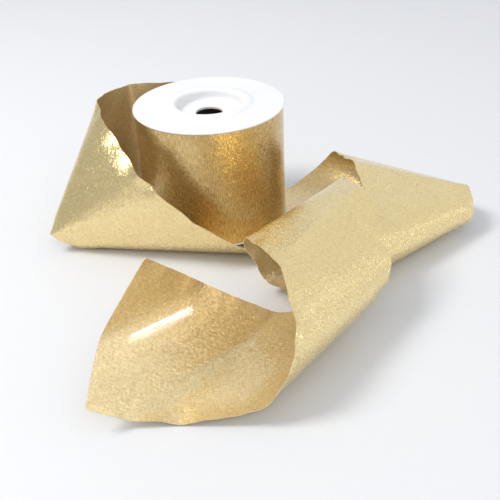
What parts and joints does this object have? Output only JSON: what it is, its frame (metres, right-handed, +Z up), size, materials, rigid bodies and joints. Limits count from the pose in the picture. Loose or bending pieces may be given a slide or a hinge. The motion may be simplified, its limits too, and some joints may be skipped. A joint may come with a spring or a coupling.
{
  "type": "ribbon spool",
  "caption": "Flanged plastic spool of wide metallic gift ribbon, standing upright, with the loose end laid out in folded loops.",
  "frame": {"origin": "middle of the whole object's footprint, on the surface it stands on", "axes": "+Z up along the spool's axis, +X to the right along the longest side of the laid-out ribbon, -Y towards the cut end"},
  "size_m": [0.1792, 0.1648, 0.0543],
  "materials": {
    "gold_ribbon": "metallic lame weave, satin sparkle",
    "white_plastic": "smooth moulded, soft gloss",
    "core_card": "matt spiral-wound card",
    "clear_tape": "translucent adhesive tape"
  },
  "bodies": {
    "loose_ribbon": {"ribbon_outer_turn": "gold_ribbon", "ribbon_lead_off": "gold_ribbon", "ribbon_left_loop_side": "gold_ribbon", "ribbon_left_loop_front": "gold_ribbon", "ribbon_left_loop_fold": "gold_ribbon", "ribbon_under_spool": "gold_ribbon", "ribbon_back_loop_rise": "gold_ribbon", "ribbon_back_loop_top": "gold_ribbon", "ribbon_back_loop_down": "gold_ribbon", "ribbon_back_loop_fold": "gold_ribbon", "ribbon_front_loop_rise": "gold_ribbon", "ribbon_front_loop_top": "gold_ribbon", "ribbon_front_loop_down": "gold_ribbon", "ribbon_front_loop_fold": "gold_ribbon", "ribbon_tail": "gold_ribbon", "ribbon_free_end": "gold_ribbon"},
    "spool": {"upper_flange": "white_plastic", "lower_flange": "white_plastic", "core_tube": "core_card", "core_tape": "clear_tape", "wound_ribbon": "gold_ribbon"}
  },
  "joints": [
    {"name": "spool_spin", "type": "hinge", "parent": "loose_ribbon", "child": "spool", "pos_m": [-0.02, 0.0507, 0.0275], "axis": [0, 0, 1], "continuous": true}
  ]
}
